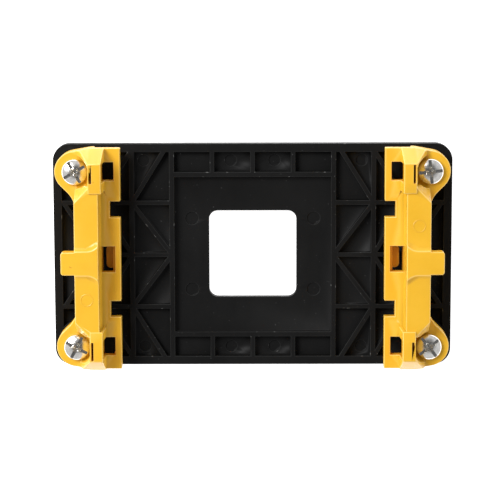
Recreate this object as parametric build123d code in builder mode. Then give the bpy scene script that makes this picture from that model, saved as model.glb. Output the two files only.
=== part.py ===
from build123d import *
import os
from math import atan2, cos, degrees, radians, sin, tan

# Cooler retention kit for a processor socket: a ribbed backplate with four threaded inserts,
# two identical clip brackets and four screws.
# Millimetres. Origin at the centre of the backplate's rear face, +X along the plate, +Z towards
# the cooler. The clip bracket is symmetric front to rear; the left one is the right one turned
# half a turn about Z.

# ---------------------------------------------------------------- driving dimensions
hole_spacing_x = 96.0
hole_spacing_y = 48.0
hole_x = hole_spacing_x / 2
hole_y = hole_spacing_y / 2

# backplate
plate_length = 109.6
plate_width = 61.5
plate_thickness = 4.5
plate_corner = 4.6
plate_rim = 2.3
outline_chamfer = 0.3
pocket_depth = 2.1
pocket_draft = 4.0
rib_width = 1.2
wide_rib_width = 1.35
window = 24.1
window_corner = 2.4
frame_rib = 22.25
truss_rib = 33.25
outer_rib = 42.4
cross_rib = 14.45
corner_rib_start = 24.2
corner_rib_end = 29.0
outer_diagonal_start = 52.0
boss_radius = 5.8
pad_radius = 4.3
pad_height = 2.0
pad_draft = 3.0
pin_mark_depth = 0.35
small_pin_radius = 1.6
small_pin_spacing_y = 52.0
inner_pin_spacing_x = 12.0
outer_pin_spacing_x = 60.0
large_pin_radius = 1.8
large_pin_spacing_x = 33.6
large_pin_spacing_y = 19.8

# threaded insert
thread_radius = 1.75
insert_radius = 2.8
insert_flange_radius = 4.0
insert_flange_height = 1.2
insert_chamfer = 0.25

# clip bracket, heights above the rear face and distances from the plate's centre
seat = plate_thickness + pad_height
flange_top = plate_thickness + 8.4
flange_thickness = 3.0
flange_bottom = flange_top - flange_thickness
flange_inner = 35.85
flange_outer = 43.0
flange_half_length = 30.3
ear_top = plate_thickness + 9.0
ear_radius = 5.5
ear_start = 10.0
ear_inner = 43.0
ear_bar_fillet = 8.0
ear_end_fillet = 6.0
bar_top = plate_thickness + 16.0
bar_inner_foot = 41.0
bar_inner_top = 41.3
bar_outer = 47.8
bar_wall = 1.8
bar_half_length = 20.6
bar_slope_start = (43.9, 20.3)
bar_slope_end = (47.8, 16.2)
bar_slope_angle = 67.0
lug_top = plate_thickness + 17.0
lug_thickness = 3.8
lug_reach = 51.4
lug_root = 46.3
lug_half_width = 3.1
lug_corner = 0.7
pad_half_length = 4.4
pad_flare_half_length = 6.4
pad_flare_x = 43.2
pad_flare_fillet = 3.0
pad_slope = 48.0
block_top = plate_thickness + 17.0
block_inner_foot = 40.0
block_inner_top = 40.4
block_outer = 43.9
block_outer_foot = 47.2
block_start = 18.7
block_step_drop = 0.5
slope_end = 21.4
ramp_start = 26.8
ramp_end = plate_thickness + 9.9
strap_thickness = 1.8
screw_hole_radius = 2.0
relief_radius = 4.4

# screw
screw_radius = 1.7
screw_length = 12.7
tip_chamfer = 0.5
head_radius = 3.5
head_height = 2.4
head_foot_chamfer = 0.15
head_rim_low = 0.4
head_rim_high = 0.9
crown_rise = 0.5
shoulder_radius = 2.7
shoulder_bulge = (3.22, 1.54)
slot_length = 6.6
slot_width = 1.0
slot_depth = 0.95
cross_length = 3.4
cross_depth = 1.75

os.makedirs("parts", exist_ok=True)


# ---------------------------------------------------------------- backplate
def rib(start, end, width=rib_width):
    """Takes a straight rib, from start to end, out of the sketch of pockets."""
    run = Vector(*end) - Vector(*start)
    middle = (Vector(*end) + Vector(*start)) * 0.5
    angle = degrees(atan2(run.Y, run.X))
    with Locations((middle.X, middle.Y)):
        Rectangle(run.length + width / 2, width, rotation=angle, mode=Mode.SUBTRACT)


half_length = plate_length / 2
half_width = plate_width / 2
screw_grid = GridLocations(hole_spacing_x, hole_spacing_y, 2, 2)

with BuildPart() as backplate:
    with BuildSketch():
        RectangleRounded(plate_length, plate_width, plate_corner)
    extrude(amount=plate_thickness)

    # Pockets between the ribs of the upper face.
    with BuildSketch(Plane.XY.offset(plate_thickness)):
        RectangleRounded(
            plate_length - 2 * plate_rim,
            plate_width - 2 * plate_rim,
            plate_corner - plate_rim,
        )
        for side in (-1, 1):
            # square frame rib round the window, with its uprights running on to the rim
            rib((side * frame_rib, -half_width), (side * frame_rib, half_width), wide_rib_width)
            rib((-frame_rib, side * frame_rib), (frame_rib, side * frame_rib), wide_rib_width)
            # uprights of the two trusses
            rib((side * truss_rib, -half_width), (side * truss_rib, half_width), wide_rib_width)
            rib((side * outer_rib, -half_width), (side * outer_rib, half_width))
            for end in (-1, 1):
                # dividers of the upper and lower rows of pockets
                rib((side * frame_rib / 2, end * frame_rib), (side * frame_rib / 2, end * half_width))
                rib((side * frame_rib, end * cross_rib), (side * half_length, end * cross_rib))
                # diagonals, three bays wide
                rib((side * corner_rib_start, end * corner_rib_end), (side * truss_rib, end * cross_rib))
                rib((side * truss_rib, end * cross_rib), (side * frame_rib, 0))
                rib((side * truss_rib, 0), (side * outer_rib, end * cross_rib))
                rib((side * outer_rib, end * cross_rib), (side * truss_rib, end * corner_rib_end))
                rib((side * outer_diagonal_start, end * cross_rib), (side * outer_rib, 0))
            rib((side * frame_rib, 0), (side * half_length, 0))
        for end in (-1, 1):
            rib((0, end * frame_rib), (0, end * half_width))
        with screw_grid:
            Circle(boss_radius, mode=Mode.SUBTRACT)
    extrude(amount=-pocket_depth, taper=pocket_draft, mode=Mode.SUBTRACT)

    # Shallow round marks left by the ejector pins on the pocket floors.
    pocket_floor = plate_thickness - pocket_depth
    with BuildSketch(Plane.XY.offset(pocket_floor)):
        for pin_spacing in (inner_pin_spacing_x, outer_pin_spacing_x):
            with GridLocations(pin_spacing, small_pin_spacing_y, 2, 2):
                Circle(small_pin_radius)
        with GridLocations(large_pin_spacing_x, large_pin_spacing_y, 2, 2):
            Circle(large_pin_radius)
    extrude(amount=-pin_mark_depth, mode=Mode.SUBTRACT)

    # Pads that hold the board and the brackets off the ribs.
    with BuildSketch(Plane.XY.offset(plate_thickness)):
        with screw_grid:
            Circle(pad_radius)
    extrude(amount=pad_height, taper=pad_draft)

    # Window for the parts behind the socket.
    with BuildSketch():
        RectangleRounded(window, window, window_corner)
    extrude(amount=plate_thickness, mode=Mode.SUBTRACT)

    # Stepped holes for the pressed-in inserts.
    for radius, depth in ((insert_radius, seat), (insert_flange_radius, insert_flange_height)):
        with BuildSketch():
            with screw_grid:
                Circle(radius)
        extrude(amount=depth, mode=Mode.SUBTRACT)

    # Broken edge round the rear outline.
    rear_outline = backplate.faces().sort_by(Axis.Z)[0].outer_wire().edges()
    chamfer(rear_outline, outline_chamfer)

backplate.part.label = "backplate"
export_step(backplate.part, "parts/backplate.step")


# ---------------------------------------------------------------- threaded insert
with BuildPart() as insert_blank:
    with BuildSketch():
        Circle(insert_flange_radius)
    extrude(amount=insert_flange_height)
    with BuildSketch():
        Circle(insert_radius)
    extrude(amount=seat)
    with BuildSketch():
        Circle(thread_radius)
    extrude(amount=seat, mode=Mode.SUBTRACT)
    mouth_edges = insert_blank.edges().filter_by(GeomType.CIRCLE).group_by(SortBy.RADIUS)[0]
    chamfer(mouth_edges, insert_chamfer)


# ---------------------------------------------------------------- screw
tip = ear_top - screw_length
crown = ear_top + head_height
shoulder = (shoulder_radius, crown - crown_rise)
crown_radius = (shoulder_radius**2 + crown_rise**2) / (2 * crown_rise)
rim_end = (head_radius, ear_top + head_rim_high)

with BuildPart() as screw_blank:
    with BuildSketch(Plane.XZ):
        with BuildLine():
            Polyline(
                (0, crown),
                (0, tip),
                (screw_radius - tip_chamfer, tip),
                (screw_radius, tip + tip_chamfer),
                (screw_radius, ear_top),
                (head_radius - head_foot_chamfer, ear_top),
                (head_radius, ear_top + head_rim_low),
                rim_end,
            )
            ThreePointArc(rim_end, (shoulder_bulge[0], ear_top + shoulder_bulge[1]), shoulder)
            RadiusArc(shoulder, (0, crown), -crown_radius)
        make_face()
    revolve(axis=Axis.Z)
    # two shallow slots that run out to the rim, and the deeper cross between them
    for turn in (0, 90):
        with BuildSketch(Plane.XY.offset(crown)):
            Rectangle(slot_length, slot_width, rotation=turn)
        extrude(amount=-slot_depth, mode=Mode.SUBTRACT)
    with BuildSketch(Plane.XY.offset(crown - cross_depth)):
        Rectangle(cross_length, slot_width)
        Rectangle(slot_width, cross_length)
    extrude(amount=cross_depth, mode=Mode.SUBTRACT)


# ---------------------------------------------------------------- clip bracket
def box_between(low, high, mode=Mode.ADD):
    """Adds or cuts a box between two corners."""
    low = Vector(*low)
    high = Vector(*high)
    size = high - low
    with Locations((low + high) * 0.5):
        Box(size.X, size.Y, size.Z, mode=mode)


def mirrored_window(low_x, high_x, low_y, high_y, low_z, high_z):
    """Cuts a window near the rear end and its mirror image near the front end."""
    box_between((low_x, low_y, low_z), (high_x, high_y, high_z), Mode.SUBTRACT)
    box_between((low_x, -high_y, low_z), (high_x, -low_y, high_z), Mode.SUBTRACT)


# The ear's outline leaves the screw's circle at 45 degrees towards the bar and at 80 degrees
# towards the end edge; these are the corners that it meets there, before they are rounded.
low_angle = radians(-45.0)
high_angle = radians(80.0)
ear_low = (hole_x + ear_radius * cos(low_angle), hole_y + ear_radius * sin(low_angle))
ear_high = (hole_x + ear_radius * cos(high_angle), hole_y + ear_radius * sin(high_angle))
ear_bar_corner = (bar_outer, ear_low[1] - (ear_low[0] - bar_outer))
ear_end_corner = (ear_high[0] - (flange_half_length - ear_high[1]) * tan(high_angle), flange_half_length)

# The bar ends in a steep slope that faces the screw. Its upper edge runs across the bar's corner.
slope_run = 9.0
slope_drop = slope_run * tan(radians(bar_slope_angle))
slope_edge = Vector(*bar_slope_end) - Vector(*bar_slope_start)
slope_middle = (Vector(*bar_slope_end) + Vector(*bar_slope_start)) * 0.5
slope_facing = Vector(-slope_edge.Y, slope_edge.X).normalized()

# Feet under the flange, set back from its edges, and the windows and notches through it.
foot_inner = flange_inner + 0.8
foot_width = 1.5
foot_ends = ((-29.5, -17.5), (-4.6, 4.6), (17.5, 29.5))
toe_length = 3.5
toe_height = 1.2
end_window = (37.6, 40.85, 21.5, 26.5)
flange_notch = (flange_inner, 38.75, 11.5, 15.85)
ear_slit = (42.9, 43.5, 21.5, 26.5)
centre_window_inner = 37.4
centre_window_half_length = 3.5
cavity_ends = ((-15.0, -6.6), (-5.4, 5.4), (6.6, 15.0))

with BuildPart() as right_bracket:
    # Bar: its section runs front to rear, with a slight draft on the inner wall.
    with BuildSketch(Plane.XZ):
        Polygon(
            (bar_inner_foot, seat),
            (bar_inner_foot, flange_top),
            (bar_inner_top, bar_top),
            (bar_outer, bar_top),
            (bar_outer, seat),
            align=None,
        )
    extrude(amount=bar_half_length, both=True)
    for end in (-1, 1):
        slope_plane = Plane(
            origin=(slope_middle.X, end * slope_middle.Y, bar_top),
            x_dir=(slope_facing.X, end * slope_facing.Y, 0),
            z_dir=(slope_edge.X, end * slope_edge.Y, 0),
        )
        down = -1 if slope_plane.y_dir.Z > 0 else 1
        with BuildSketch(slope_plane):
            Polygon(
                (0, 0),
                (0, -down),
                (slope_run, -down),
                (slope_run, down * slope_drop),
                align=None,
            )
        extrude(amount=slope_run, both=True, mode=Mode.SUBTRACT)

    # Flange along the inner side.
    box_between(
        (flange_inner, -flange_half_length, flange_bottom),
        (flange_outer, flange_half_length, flange_top),
    )

    # Raised blocks that carry the load from the bar to the ends of the flange: a drafted strap
    # beside the slit and a wider foot beyond it, cut off by a steep ramp at the end and by a
    # gentle slope and a step towards the bar.
    for end in (-1, 1):
        with BuildSketch(Plane.XZ.offset(-end * block_start)):
            Polygon(
                (block_inner_foot, flange_bottom),
                (block_inner_foot, flange_top),
                (block_inner_top, block_top),
                (block_outer, block_top),
                (block_outer, flange_bottom),
                align=None,
            )
        extrude(amount=-end * (flange_half_length - block_start))
        with BuildSketch(Plane.XZ.offset(-end * hole_y)):
            Polygon(
                (ear_inner, ear_top),
                (ear_inner, block_top),
                (block_outer, block_top),
                (block_outer_foot, ear_top),
                align=None,
            )
        extrude(amount=-end * (flange_half_length - hole_y))
        with BuildSketch(Plane.YZ.offset(flange_inner)):
            Polygon(
                (end * ramp_start, block_top),
                (end * flange_half_length, ramp_end),
                (end * flange_half_length, block_top),
                align=None,
            )
            Polygon(
                (end * block_start, block_top),
                (end * block_start, block_top - block_step_drop),
                (end * slope_end, block_top),
                align=None,
            )
        extrude(amount=bar_outer - flange_inner, mode=Mode.SUBTRACT)

    # Ears round the screws, tangent to the end edge and filleted into the bar.
    for end in (-1, 1):
        with BuildSketch(Plane.XY.offset(seat)) as ear:
            with BuildLine():
                Polyline(
                    ear_high,
                    ear_end_corner,
                    (ear_inner, flange_half_length),
                    (ear_inner, ear_start),
                    (bar_outer, ear_start),
                    ear_bar_corner,
                    ear_low,
                )
                ThreePointArc(ear_low, (hole_x + ear_radius, hole_y), ear_high)
            make_face()
            fillet(ear.vertices().sort_by_distance(ear_bar_corner)[0], ear_bar_fillet)
            fillet(ear.vertices().sort_by_distance(ear_end_corner)[0], ear_end_fillet)
            if end < 0:
                mirror(about=Plane.XZ, mode=Mode.REPLACE)
        extrude(amount=ear_top - seat)
        # the foot of the block keeps to the outline of the ear
        with BuildSketch(Plane.XY.offset(ear_top)):
            with Locations((hole_x, end * (hole_y + flange_half_length) / 2)):
                Rectangle(2 * (hole_x - ear_inner), flange_half_length - hole_y)
            add(ear.sketch_local, mode=Mode.SUBTRACT)
        extrude(amount=block_top - ear_top, mode=Mode.SUBTRACT)
        # relief for the screw head and the driver, with a flat side along the strap
        with BuildSketch(Plane.XY.offset(ear_top)):
            with Locations((hole_x, end * hole_y)):
                Circle(relief_radius)
            with Locations((block_outer - relief_radius, end * hole_y)):
                Rectangle(2 * relief_radius, 2 * relief_radius, mode=Mode.SUBTRACT)
        extrude(amount=block_top - ear_top + 1, mode=Mode.SUBTRACT)

    # Pad and lug for the cooler's clip, at the middle of the bar.
    with BuildSketch(Plane.XY.offset(bar_top)) as pad:
        Polygon(
            (flange_inner, -pad_flare_half_length),
            (bar_inner_top, -pad_flare_half_length),
            (pad_flare_x, -pad_half_length),
            (lug_reach, -pad_half_length),
            (lug_reach, pad_half_length),
            (pad_flare_x, pad_half_length),
            (bar_inner_top, pad_flare_half_length),
            (flange_inner, pad_flare_half_length),
            align=None,
        )
        flare_corners = [v for v in pad.vertices() if abs(v.X - pad_flare_x) < 0.01]
        fillet(flare_corners, pad_flare_fillet)
    extrude(amount=lug_top - bar_top, taper=pad_slope)
    # the pad is flush with the bar's inner wall and with its outer side
    for low, high in ((flange_inner, bar_inner_top), (bar_outer, lug_reach)):
        box_between(
            (low, -pad_flare_half_length, bar_top),
            (high, pad_flare_half_length, lug_top),
            Mode.SUBTRACT,
        )
    with BuildSketch(Plane.XY.offset(lug_top - lug_thickness)):
        with Locations(((lug_root + lug_reach) / 2, 0)):
            RectangleRounded(lug_reach - lug_root, 2 * lug_half_width, lug_corner)
    extrude(amount=lug_thickness)

    # Hollow underside of the bar, with two cross ribs.
    for low, high in cavity_ends:
        box_between(
            (bar_inner_foot + bar_wall, low, seat),
            (bar_outer - bar_wall, high, bar_top - bar_wall),
            Mode.SUBTRACT,
        )

    # Feet under the flange, with a toe below the middle window.
    for low, high in foot_ends:
        box_between((foot_inner, low, seat), (foot_inner + foot_width, high, flange_bottom))
    with BuildSketch(Plane.XY.offset(seat)) as toe:
        with Locations((foot_inner + toe_length / 2, 0)):
            Rectangle(toe_length, 2 * lug_half_width)
        fillet(toe.vertices().group_by(Axis.X)[-1], toe_height)
    extrude(amount=toe_height)

    # Windows below the straps, notches of the flange, and the slits beside the ears.
    mirrored_window(*end_window, seat, block_top - strap_thickness)
    mirrored_window(*flange_notch, seat, flange_top)
    mirrored_window(*ear_slit, seat, block_top)
    box_between(
        (centre_window_inner, -centre_window_half_length, flange_bottom),
        (bar_inner_foot, centre_window_half_length, flange_top),
        Mode.SUBTRACT,
    )

    # Screw holes.
    with BuildSketch(Plane.XY.offset(seat)):
        with screw_grid:
            Circle(screw_hole_radius)
    extrude(amount=ear_top - seat, mode=Mode.SUBTRACT)

right_bracket.part.label = "right_bracket"
export_step(right_bracket.part, "parts/right_bracket.step")

with BuildPart() as left_bracket:
    add(right_bracket.part, rotation=(0, 0, 180))

left_bracket.part.label = "left_bracket"
export_step(left_bracket.part, "parts/left_bracket.step")


# ---------------------------------------------------------------- inserts and screws in place
# Each screw stops at its own angle when it is tight.
corners = (
    ("rear_left", -1, 1, 30.0),
    ("front_left", -1, -1, 62.0),
    ("rear_right", 1, 1, 6.0),
    ("front_right", 1, -1, 38.0),
)
for corner, side, end, angle in corners:
    place = Location((side * hole_x, end * hole_y, 0), (0, 0, angle))

    with BuildPart() as insert:
        with Locations(place):
            add(insert_blank.part)
    insert.part.label = corner + "_insert"
    export_step(insert.part, "parts/" + corner + "_insert.step")

    with BuildPart() as screw:
        with Locations(place):
            add(screw_blank.part)
    screw.part.label = corner + "_screw"
    export_step(screw.part, "parts/" + corner + "_screw.step")
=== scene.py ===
from math import cos, pi, radians, sin

import bmesh
import bpy
from mathutils import Matrix, Vector


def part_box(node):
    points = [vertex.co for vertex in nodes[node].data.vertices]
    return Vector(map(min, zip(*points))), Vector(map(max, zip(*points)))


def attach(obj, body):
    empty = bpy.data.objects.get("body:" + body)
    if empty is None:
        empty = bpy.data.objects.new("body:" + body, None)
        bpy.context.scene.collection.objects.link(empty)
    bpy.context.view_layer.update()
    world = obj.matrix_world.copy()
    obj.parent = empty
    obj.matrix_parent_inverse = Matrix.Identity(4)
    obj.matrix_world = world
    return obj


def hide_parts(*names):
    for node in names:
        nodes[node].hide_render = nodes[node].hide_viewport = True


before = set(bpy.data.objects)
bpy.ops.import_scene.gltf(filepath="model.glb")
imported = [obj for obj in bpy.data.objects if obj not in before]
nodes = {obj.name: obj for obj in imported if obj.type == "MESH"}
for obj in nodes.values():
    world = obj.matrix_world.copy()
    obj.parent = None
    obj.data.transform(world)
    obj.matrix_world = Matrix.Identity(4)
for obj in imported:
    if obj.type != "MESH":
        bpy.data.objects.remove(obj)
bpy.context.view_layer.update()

# Metres. Origin at the centre of the backplate's rear face, +X along the plate, +Z towards the
# cooler. Heights are above the rear face.
MM = 0.001
PLATE_TOP = 4.5 * MM
SEAT = 6.5 * MM
EAR_TOP = 13.5 * MM
BAR_TOP = 20.5 * MM
RING_CENTRE = Vector((44.6 * MM, 10.0 * MM, BAR_TOP))

SCREW_TIP = 0.8 * MM
HEAD_TOP = 15.9 * MM
SCREW_SIDES = 40
# Each screw stops at its own angle when it is tight.
SCREW_ANGLES = {"rear_left": 30.0, "front_left": 62.0, "rear_right": 6.0, "front_right": 38.0}
PITCH = 0.79375 * MM
RINGS_PER_PITCH = 8
# root and crest radii of the outer thread on a screw, and of the inner thread in an insert
SCREW_THREAD = (1.38 * MM, 1.69 * MM)
INSERT_THREAD = (2.0 * MM, 1.77 * MM)
KNURL_TEETH = 36

# widths of rounded edges, and the two groups of edges in softened_copy
PLATE_EDGE = 0.12 * MM
BRACKET_EDGE = 0.22 * MM
SLIT_EDGE = 0.07 * MM
THIN = 1
WIDE = 2
# distances from the middle planes within which a bracket edge is beside a slit
SLIT_X = (42.2 * MM, 44.2 * MM)
SLIT_Y = (21.0 * MM, 27.3 * MM)


# ---------------------------------------------------------------- camera
# The camera stands 0.55 m above the plate. It leans 8.2 degrees from straight down, with a
# slight sway and roll.
LEAN = radians(8.195)
SWAY = radians(-0.254)
ROLL = radians(0.095)
# the middle of the plate's upper face, seen from the camera
PLATE_SEEN = Vector((0.751, -1.301, -547.49)) * MM

camera_data = bpy.data.cameras.new("camera")
camera = bpy.data.objects.new("camera", camera_data)
bpy.context.scene.collection.objects.link(camera)
camera_data.sensor_width = 36.0
camera_data.lens = 142.85
camera_data.clip_start = 0.01
camera_data.clip_end = 40.0
tilt = Matrix.Rotation(ROLL, 3, "Z") @ Matrix.Rotation(SWAY, 3, "Y")
tilt = tilt @ Matrix.Rotation(LEAN, 3, "X")
place = -(tilt.transposed() @ PLATE_SEEN) + Vector((0, 0, PLATE_TOP))
camera.matrix_world = Matrix.Translation(place) @ tilt.transposed().to_4x4()
bpy.context.scene.camera = camera


# ---------------------------------------------------------------- materials
class Shader:
    """A Principled material and short ways to add nodes to it.

    Patterns follow the object's own coordinates."""

    def __init__(self, name, **settings):
        self.material = bpy.data.materials.new(name)
        self.material.use_nodes = True
        self.tree = self.material.node_tree
        self.nodes = self.tree.nodes
        self.surface = self.nodes["Principled BSDF"]
        for key, value in settings.items():
            self.surface.inputs[key.replace("_", " ")].default_value = value
        self.coordinates = self.nodes.new("ShaderNodeTexCoord").outputs["Object"]

    def link(self, source, target):
        self.tree.links.new(source, target)

    def noise(self, scale, detail=3.0, roughness=0.55, stretch=None):
        """Noise, with the coordinates multiplied by stretch where that is given."""
        node = self.nodes.new("ShaderNodeTexNoise")
        node.inputs["Scale"].default_value = scale
        node.inputs["Detail"].default_value = detail
        node.inputs["Roughness"].default_value = roughness
        if stretch is None:
            self.link(self.coordinates, node.inputs["Vector"])
        else:
            mapping = self.nodes.new("ShaderNodeMapping")
            mapping.inputs["Scale"].default_value = stretch
            self.link(self.coordinates, mapping.inputs["Vector"])
            self.link(mapping.outputs["Vector"], node.inputs["Vector"])
        return node.outputs["Fac"]

    def ramp(self, source, low, high, start=0.0, end=1.0):
        """The source, mapped from the range low to high onto start to end."""
        node = self.nodes.new("ShaderNodeMapRange")
        node.inputs["From Min"].default_value = low
        node.inputs["From Max"].default_value = high
        node.inputs["To Min"].default_value = start
        node.inputs["To Max"].default_value = end
        self.link(source, node.inputs["Value"])
        return node.outputs["Result"]

    def mix(self, factor, first, second):
        """A blend from the first colour to the second. Either may be a tuple or a socket."""
        node = self.nodes.new("ShaderNodeMix")
        node.data_type = "RGBA"
        self.link(factor, node.inputs[0])
        for value, socket in ((first, node.inputs[6]), (second, node.inputs[7])):
            if isinstance(value, tuple):
                socket.default_value = (*value, 1.0)
            else:
                self.link(value, socket)
        return node.outputs[2]

    def product(self, first, second):
        node = self.nodes.new("ShaderNodeMath")
        node.operation = "MULTIPLY"
        self.link(first, node.inputs[0])
        self.link(second, node.inputs[1])
        return node.outputs[0]

    def bump(self, height, distance, strength, below=None):
        """A bumped normal, on top of the bumps below where those are given."""
        node = self.nodes.new("ShaderNodeBump")
        node.inputs["Distance"].default_value = distance
        node.inputs["Strength"].default_value = strength
        self.link(height, node.inputs["Height"])
        if below is not None:
            self.link(below, node.inputs["Normal"])
        return node.outputs["Normal"]

    def attribute(self, name):
        node = self.nodes.new("ShaderNodeAttribute")
        node.attribute_name = name
        return node.outputs["Fac"]

    def set(self, socket, source):
        self.link(source, self.surface.inputs[socket])


def yellow_plastic():
    shader = Shader("yellow_plastic", IOR=1.5, Subsurface_Weight=0.04, Subsurface_Scale=0.002)
    shader.surface.inputs["Subsurface Radius"].default_value = (1.0, 0.60, 0.15)
    mottle = shader.noise(110.0, 4.0)
    colour = shader.mix(shader.ramp(mottle, 0.3, 0.7), (0.79, 0.430, 0.020), (0.85, 0.474, 0.028))
    specks = shader.ramp(shader.noise(620.0, 2.0), 0.72, 0.78)
    colour = shader.mix(specks, colour, (0.62, 0.27, 0.02))
    # painted highlight: the faces of the rounded edges are lightened towards pale yellow
    edge = shader.attribute("edge")
    colour = shader.mix(shader.ramp(edge, 0.0, 1.0, 0.0, 0.55), colour, (1.0, 0.68, 0.20))
    shader.set("Base Color", colour)
    smear = shader.noise(90.0, 5.0, 0.65)
    shader.set("Roughness", shader.ramp(smear, 0.3, 0.7, 0.30, 0.42))
    waves = shader.bump(shader.noise(160.0, 2.0), 0.00010, 0.5)
    grain = shader.bump(shader.noise(5200.0, 2.0), 0.000008, 0.6, waves)
    shader.set("Normal", grain)
    return shader.material


def black_plastic():
    shader = Shader("black_plastic", IOR=1.46, Specular_IOR_Level=0.10)
    mottle = shader.noise(60.0, 5.0, 0.6)
    patches = shader.ramp(mottle, 0.3, 0.7)
    colour = shader.mix(patches, (0.0060, 0.0060, 0.0060), (0.0090, 0.0090, 0.0089))
    dust = shader.ramp(shader.noise(1500.0, 1.0), 0.76, 0.80)
    colour = shader.mix(dust, colour, (0.05, 0.05, 0.05))
    # painted highlight: the faces of the rounded edges are lightened to dark grey
    edge = shader.attribute("edge")
    colour = shader.mix(shader.ramp(edge, 0.0, 1.0, 0.0, 0.5), colour, (0.034, 0.034, 0.034))
    nicks = shader.product(edge, shader.ramp(shader.noise(420.0, 4.0, 0.6), 0.63, 0.68))
    colour = shader.mix(nicks, colour, (0.16, 0.16, 0.155))
    shader.set("Base Color", colour)
    scuffs = shader.noise(240.0, 6.0, 0.7, (1.0, 0.25, 1.0))
    shader.set("Roughness", shader.ramp(scuffs, 0.3, 0.7, 0.40, 0.54))
    waves = shader.bump(shader.noise(120.0, 3.0), 0.00003, 0.5)
    grain = shader.bump(shader.noise(4200.0, 3.0), 0.000015, 0.7, waves)
    shader.set("Normal", grain)
    return shader.material


def screw_metal():
    shader = Shader("screw_metal", Metallic=1.0)
    tone = shader.noise(900.0, 3.0)
    colour = shader.mix(shader.ramp(tone, 0.3, 0.7), (0.74, 0.72, 0.67), (0.90, 0.89, 0.86))
    shader.set("Base Color", colour)
    smear = shader.noise(1500.0, 4.0, 0.6)
    shader.set("Roughness", shader.ramp(smear, 0.3, 0.7, 0.14, 0.26))
    rub = shader.bump(shader.noise(700.0, 3.0), 0.00006, 0.6)
    shader.set("Normal", shader.bump(shader.noise(9000.0, 2.0), 0.000003, 0.6, rub))
    return shader.material


def insert_brass():
    shader = Shader("insert_brass", Metallic=1.0)
    tone = shader.noise(500.0, 4.0)
    colour = shader.mix(shader.ramp(tone, 0.3, 0.7), (0.50, 0.34, 0.13), (0.68, 0.48, 0.21))
    shader.set("Base Color", colour)
    shader.set("Roughness", shader.ramp(shader.noise(1200.0, 4.0), 0.3, 0.7, 0.28, 0.42))
    lines = shader.noise(6000.0, 2.0, 0.5, (1.0, 1.0, 4.0))
    shader.set("Normal", shader.bump(lines, 0.000006, 0.6))
    return shader.material


def floor_white():
    shader = Shader("floor_white", Roughness=0.9, Specular_IOR_Level=0.2)
    tone = shader.noise(3.0, 3.0)
    shader.set("Base Color", shader.mix(tone, (0.93, 0.93, 0.93), (0.96, 0.96, 0.96)))
    shader.surface.inputs["Emission Color"].default_value = (1.0, 1.0, 1.0, 1.0)
    shader.surface.inputs["Emission Strength"].default_value = 0.95
    # so wide a glow is smoother when it isn't sampled as a lamp
    shader.material.cycles.emission_sampling = "NONE"
    return shader.material


YELLOW = yellow_plastic()
BLACK = black_plastic()
METAL = screw_metal()
BRASS = insert_brass()


# ---------------------------------------------------------------- pieces
def new_piece(name, mesh, material, slot, body, *replaced):
    """A piece of the visual model. It rides on a body, and stands in for the replaced nodes."""
    piece = bpy.data.objects.new(name, mesh)
    bpy.context.scene.collection.objects.link(piece)
    mesh.materials.clear()
    mesh.materials.append(material)
    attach(piece, body)
    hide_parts(*replaced)
    return piece


def shade(mesh, angle=35.0):
    """Smooth shading, with edges sharper than the angle left sharp."""
    for polygon in mesh.polygons:
        polygon.use_smooth = True
    mesh.set_sharp_from_angle(angle=radians(angle))


def rounded(bm, edges, width):
    """Rounds the edges, and marks the new faces in the layer "edge", which the materials read to
    paint a highlight there, and nicks on the black plastic.
    """
    result = bmesh.ops.bevel(
        bm,
        geom=edges,
        offset=width,
        offset_type="OFFSET",
        segments=2,
        profile=0.5,
        affect="EDGES",
        clamp_overlap=False,
        loop_slide=False,
    )
    layer = bm.faces.layers.float["edge"]
    for face in result["faces"]:
        face[layer] = 1.0


def softened_copy(node, name, width, thin=None, thin_width=0.0):
    """A copy of a CAD node's mesh with its sharp outer edges rounded by the given width.

    Edges for which thin(middle) is true border thin walls, and take thin_width instead."""
    bm = bmesh.new()
    bm.from_mesh(nodes[node].data)
    # layers come before any edge or face is picked out, because adding one makes picks invalid
    bm.faces.layers.float.new("edge")
    group = bm.edges.layers.int.new("group")
    bmesh.ops.remove_doubles(bm, verts=bm.verts, dist=0.002 * MM)
    bmesh.ops.dissolve_limit(bm, angle_limit=radians(0.6), verts=bm.verts, edges=bm.edges)
    for edge in bm.edges:
        if edge.is_manifold and edge.is_convex and edge.calc_face_angle(0.0) > radians(28.0):
            middle = (edge.verts[0].co + edge.verts[1].co) / 2
            edge[group] = THIN if thin is not None and thin(middle) else WIDE
    rounded(bm, [e for e in bm.edges if e[group] == WIDE], width)
    if thin is not None:
        rounded(bm, [e for e in bm.edges if e[group] == THIN], thin_width)
    bmesh.ops.remove_doubles(bm, verts=bm.verts, dist=0.0005 * MM)
    bmesh.ops.triangulate(bm, faces=[f for f in bm.faces if len(f.verts) > 4])
    mesh = bpy.data.meshes.new(name)
    bm.to_mesh(mesh)
    bm.free()
    shade(mesh)
    return mesh


def weighted(piece):
    """Lets the large faces set the shading, so that the rounded edges don't tint them."""
    modifier = piece.modifiers.new("normals", "WEIGHTED_NORMAL")
    modifier.keep_sharp = True
    modifier.weight = 80


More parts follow.
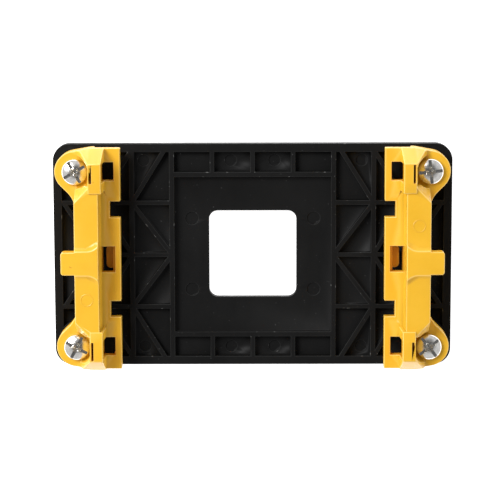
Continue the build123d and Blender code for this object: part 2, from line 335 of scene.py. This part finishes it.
def lathe(name, rows, sides, closed_ends=True):
    """A closed mesh of rings. Each row is a function of the angle that gives (radius, height).

    Without closed_ends, the last ring joins the first, as on a tube with a bore."""
    bm = bmesh.new()
    bm.faces.layers.float.new("edge")
    rings = []
    for row in rows:
        ring = []
        for step in range(sides):
            angle = 2 * pi * step / sides
            radius, height = row(angle)
            ring.append(bm.verts.new((radius * cos(angle), radius * sin(angle), height)))
        rings.append(ring)
    pairs = list(zip(rings, rings[1:]))
    if not closed_ends:
        pairs.append((rings[-1], rings[0]))
    for low, high in pairs:
        for step in range(sides):
            after = (step + 1) % sides
            bm.faces.new((low[step], low[after], high[after], high[step]))
    if closed_ends:
        for ring, flip in ((rings[0], True), (rings[-1], False)):
            centre = bm.verts.new((0, 0, sum(v.co.z for v in ring) / sides))
            for step in range(sides):
                corners = (centre, ring[step], ring[(step + 1) % sides])
                bm.faces.new(tuple(reversed(corners)) if flip else corners)
    mesh = bpy.data.meshes.new(name)
    bm.to_mesh(mesh)
    bm.free()
    return mesh


def steady(radius, height):
    """A plain round ring."""
    return lambda angle: (radius, height)


def thread_row(height, root, crest, limit):
    """A ring at this height on a helical thread between the two radii.

    An outer thread goes no further out than limit(height), an inner one no further in."""

    def row(angle):
        phase = (height / PITCH - angle / (2 * pi)) % 1.0
        # a trapezium with flats at the crest and the root
        rise = max(0.0, min(1.0, 1.45 - abs(phase - 0.5) * 4.0))
        radius = root + (crest - root) * rise
        radius = min(radius, limit(height)) if crest > root else max(radius, limit(height))
        return radius, height

    return row


def screw_profile():
    """The rows of a pan-head screw, from its tip to the middle of its crown."""

    def tip_limit(z):
        return 1.2 * MM + (z - SCREW_TIP)

    rows = []
    height = SCREW_TIP
    while height < EAR_TOP - 0.9 * MM:
        rows.append(thread_row(height, *SCREW_THREAD, tip_limit))
        height += PITCH / RINGS_PER_PITCH
    # plain neck
    rows.append(steady(1.5 * MM, height + 0.15 * MM))
    rows.append(steady(1.5 * MM, EAR_TOP))
    # underside, rim and rounded shoulder of the head
    for radius, lift in (
        (3.30, 0.0),
        (3.40, 0.03),
        (3.47, 0.14),
        (3.50, 0.40),
        (3.50, 0.90),
        (3.46, 1.18),
        (3.37, 1.39),
        (3.22, 1.58),
        (3.00, 1.76),
        (2.70, 1.90),
    ):
        rows.append(steady(radius * MM, EAR_TOP + lift * MM))
    # shallow crown: a spherical cap 2.7 mm in radius and 0.5 mm high
    sphere = (2.7**2 + 0.5**2) / (2 * 0.5)
    for radius in (2.3, 1.9, 1.5, 1.1, 0.7, 0.3):
        drop = sphere - (sphere**2 - radius**2) ** 0.5
        rows.append(steady(radius * MM, HEAD_TOP - drop * MM))
    return rows


def recess_cutter():
    """The cross recess, with arms that narrow downwards, and the slots that run out to the rim."""
    bm = bmesh.new()

    def prism(sections, turn):
        """A closed loft through rectangles, turned about Z by some degrees.

        A rectangle is (half length, half width, height above the crown), in millimetres."""
        turned = Matrix.Rotation(radians(turn), 3, "Z")
        rings = []
        for half_length, half_width, height in sections:
            corners = []
            for a, b in ((1, 1), (-1, 1), (-1, -1), (1, -1)):
                point = Vector((a * half_length * MM, b * half_width * MM, HEAD_TOP + height * MM))
                corners.append(bm.verts.new(turned @ point))
            rings.append(corners)
        for low, high in zip(rings, rings[1:]):
            for i in range(4):
                bm.faces.new((low[i], low[(i + 1) % 4], high[(i + 1) % 4], high[i]))
        bm.faces.new(tuple(reversed(rings[0])))
        bm.faces.new(tuple(rings[-1]))

    slot = ((3.22, 0.40, -0.86), (3.30, 0.48, 0.3))
    cross = ((0.62, 0.36, -1.72), (1.72, 0.50, -0.3), (1.90, 0.54, 0.3))
    well = ((0.30, 0.30, -1.95), (0.78, 0.78, -0.9), (0.92, 0.92, 0.3))
    for turn in (0.0, 90.0):
        prism(slot, turn)
        prism(cross, turn)
    prism(well, 45.0)
    mesh = bpy.data.meshes.new("recess_cutter")
    bm.to_mesh(mesh)
    bm.free()
    return mesh


def screw_mesh():
    """A screw on the Z axis: threaded shank and recessed head."""
    blank = bpy.data.objects.new("screw_blank", lathe("screw_blank", screw_profile(), SCREW_SIDES))
    cutter = bpy.data.objects.new("recess_cutter", recess_cutter())
    for piece in (blank, cutter):
        bpy.context.scene.collection.objects.link(piece)
    modifier = blank.modifiers.new("recess", "BOOLEAN")
    modifier.operation = "DIFFERENCE"
    modifier.solver = "EXACT"
    modifier.use_self = True
    modifier.object = cutter
    bpy.context.view_layer.update()
    evaluated = blank.evaluated_get(bpy.context.evaluated_depsgraph_get())
    mesh = bpy.data.meshes.new_from_object(evaluated)
    for piece in (blank, cutter):
        bpy.data.objects.remove(piece)
    return mesh


def insert_mesh():
    """A pressed-in insert on the Z axis: knurled flange and body, threaded bore."""

    def knurl(radius, depth, height):
        """A ring of V-shaped teeth."""

        def row(angle):
            across = (angle * KNURL_TEETH / (2 * pi)) % 1.0
            return radius - depth * abs(across * 2 - 1), height

        return row

    def mouth(z):
        """The radius of the bore, which widens at both ends."""
        return INSERT_THREAD[1] + max(0.0, z - (SEAT - 0.3 * MM), 0.3 * MM - z)

    rows = [
        # flange
        steady(2.05 * MM, 0.0),
        steady(3.75 * MM, 0.0),
        knurl(3.98 * MM, 0.16 * MM, 0.15 * MM),
        knurl(3.98 * MM, 0.16 * MM, 1.10 * MM),
        steady(3.80 * MM, 1.19 * MM),
        # body
        steady(2.79 * MM, 1.19 * MM),
        knurl(2.79 * MM, 0.14 * MM, 1.6 * MM),
        knurl(2.79 * MM, 0.14 * MM, 6.2 * MM),
        steady(2.65 * MM, 6.48 * MM),
        steady(2.05 * MM, 6.48 * MM),
    ]
    # thread, from the top down
    height = SEAT - 0.25 * MM
    while height > 0.2 * MM:
        rows.append(thread_row(height, *INSERT_THREAD, mouth))
        height -= PITCH / RINGS_PER_PITCH
    mesh = lathe("insert", rows, KNURL_TEETH * 2, closed_ends=False)
    bm = bmesh.new()
    bm.from_mesh(mesh)
    bmesh.ops.recalc_face_normals(bm, faces=bm.faces)
    bm.to_mesh(mesh)
    bm.free()
    return mesh


def beside_slit(point):
    """True near the slits beside the screws, where the bracket's walls are thinnest."""
    return SLIT_X[0] < abs(point.x) < SLIT_X[1] and SLIT_Y[0] < abs(point.y) < SLIT_Y[1]


def with_ring(mesh, centre):
    """Adds a faint raised ring, sunk into the surface at the centre, to the mesh."""
    profile = ((1.42, -0.08), (1.50, 0.05), (1.62, 0.09), (1.74, 0.05), (1.82, -0.08))
    rows = [steady(radius * MM, height * MM) for radius, height in profile]
    ring = lathe("ring", rows, 64, closed_ends=False)
    ring.transform(Matrix.Translation(centre))
    bm = bmesh.new()
    bm.from_mesh(ring)
    bmesh.ops.recalc_face_normals(bm, faces=bm.faces)
    bm.from_mesh(mesh)
    bm.to_mesh(mesh)
    bm.free()
    bpy.data.meshes.remove(ring)
    shade(mesh)


plate_mesh = softened_copy("backplate", "backplate_body", PLATE_EDGE)
weighted(new_piece("backplate_body", plate_mesh, BLACK, "black_plastic", "plate", "backplate"))
right_mesh = softened_copy(
    "right_bracket", "right_bracket_body", BRACKET_EDGE, beside_slit, SLIT_EDGE
)
with_ring(right_mesh, RING_CENTRE)
# the left bracket is the right one turned half a turn
left_mesh = right_mesh.copy()
left_mesh.transform(Matrix.Rotation(pi, 4, "Z"))
for side, mesh in (("left", left_mesh), ("right", right_mesh)):
    name = side + "_bracket"
    weighted(new_piece(name + "_body", mesh, YELLOW, "yellow_plastic", name, name))

plain_screw = screw_mesh()
plain_insert = insert_mesh()
for corner, angle in SCREW_ANGLES.items():
    low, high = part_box(corner + "_screw")
    middle = (low + high) / 2
    move = Matrix.Translation((middle.x, middle.y, 0)) @ Matrix.Rotation(radians(angle), 4, "Z")
    for kind, plain, material, slot, body in (
        ("screw", plain_screw, METAL, "screw_metal", corner + "_screw"),
        ("insert", plain_insert, BRASS, "insert_brass", "plate"),
    ):
        mesh = plain.copy()
        mesh.transform(move)
        shade(mesh, 32.0)
        node = corner + "_" + kind
        new_piece(node + "_body", mesh, material, slot, body, node)


# ---------------------------------------------------------------- floor and light
bm = bmesh.new()
bmesh.ops.create_grid(bm, x_segments=8, y_segments=8, size=12.0)
mesh = bpy.data.meshes.new("floor")
bm.to_mesh(mesh)
bm.free()
mesh.materials.append(floor_white())
floor = bpy.data.objects.new("floor", mesh)
floor.location.z = -0.05 * MM
bpy.context.scene.collection.objects.link(floor)


key_data = bpy.data.lights.new("key", "AREA")
key_data.shape = "SQUARE"
key_data.size = 0.40
key_data.energy = 7.9
key = bpy.data.objects.new("key", key_data)
bpy.context.scene.collection.objects.link(key)
from_key = Vector((-0.52, 0.40, 0.75)).normalized()
key.location = from_key * 0.9
key.rotation_euler = from_key.to_track_quat("Z", "Y").to_euler()

# The studio is bright all round and dim straight overhead, where the camera stands.
world = bpy.data.worlds.new("studio")
bpy.context.scene.world = world
world.use_nodes = True
sky = world.node_tree
coordinates = sky.nodes.new("ShaderNodeTexCoord")
parts = sky.nodes.new("ShaderNodeSeparateXYZ")
ramp = sky.nodes.new("ShaderNodeValToRGB")
sky.links.new(coordinates.outputs["Generated"], parts.inputs[0])
sky.links.new(parts.outputs["Z"], ramp.inputs[0])
sky.links.new(ramp.outputs[0], sky.nodes["Background"].inputs["Color"])
stops = ramp.color_ramp.elements
stops[0].position = 0.80
stops[0].color = (0.66, 0.66, 0.67, 1.0)
stops[1].position = 0.95
stops[1].color = (0.10, 0.10, 0.10, 1.0)
sky.nodes["Background"].inputs["Strength"].default_value = 1.0
bpy.context.scene.view_settings.view_transform = "Standard"
